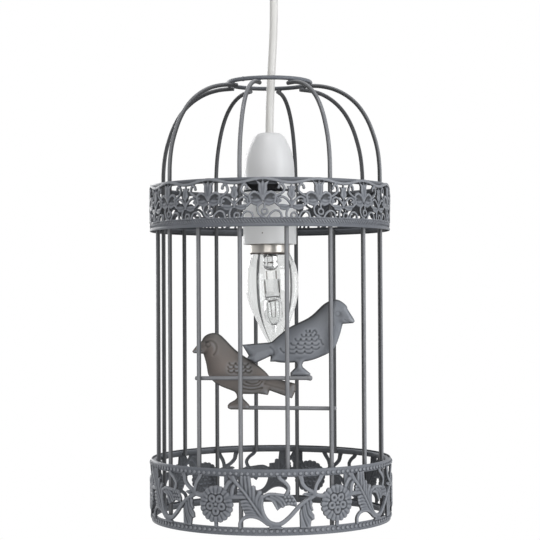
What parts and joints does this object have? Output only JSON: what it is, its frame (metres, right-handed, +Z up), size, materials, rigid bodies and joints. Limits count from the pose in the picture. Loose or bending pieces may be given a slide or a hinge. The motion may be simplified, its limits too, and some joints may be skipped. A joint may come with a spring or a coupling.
{
  "type": "birdcage lamp shade",
  "caption": "Round wire birdcage pendant shade with pierced bands and bird silhouettes, hung on a flex with its lampholder and candle lamp.",
  "frame": {"origin": "centre of the ceiling rose's top face", "axes": "+Z up out of the ceiling face, -Y towards the side with the birds"},
  "size_m": [0.1625, 0.1622, 0.438],
  "materials": {
    "cage_paint": "satin paint, blue-grey",
    "holder_plastic": "white moulded plastic",
    "flex_sheath": "white sheath",
    "rose_plastic": "white moulded plastic",
    "lamp_metal": "pressed bright metal",
    "lamp_glass": "clear",
    "capsule_glass": "clear",
    "lead_wire": "bare wire"
  },
  "bodies": {
    "root": {"fitter_strap": "cage_paint", "flex": "flex_sheath", "foot_hoop": "cage_paint", "holder_body": "holder_plastic", "holder_cap": "holder_plastic", "lamp_cap": "lamp_metal", "lamp_capsule": "capsule_glass", "lamp_envelope": "lamp_glass", "lamp_filament": "lead_wire", "lamp_lead_1": "lead_wire", "lamp_lead_2": "lead_wire", "lamp_stem": "lamp_glass", "left_bird": "cage_paint", "long_bar_1": "cage_paint", "long_bar_2": "cage_paint", "long_bar_3": "cage_paint", "long_bar_4": "cage_paint", "long_bar_5": "cage_paint", "long_bar_6": "cage_paint", "long_bar_7": "cage_paint", "long_bar_8": "cage_paint", "lower_band": "cage_paint", "lower_perch": "cage_paint", "right_bird": "cage_paint", "rim_hoop": "cage_paint", "rose_base": "rose_plastic", "rose_cover": "rose_plastic", "shade_ring": "holder_plastic", "short_bar_1": "cage_paint", "short_bar_2": "cage_paint", "short_bar_3": "cage_paint", "short_bar_4": "cage_paint", "short_bar_5": "cage_paint", "short_bar_6": "cage_paint", "short_bar_7": "cage_paint", "short_bar_8": "cage_paint", "strip_hoop": "cage_paint", "top_ring": "cage_paint", "upper_band": "cage_paint", "upper_hoop": "cage_paint", "upper_perch": "cage_paint"}
  },
  "joints": []
}
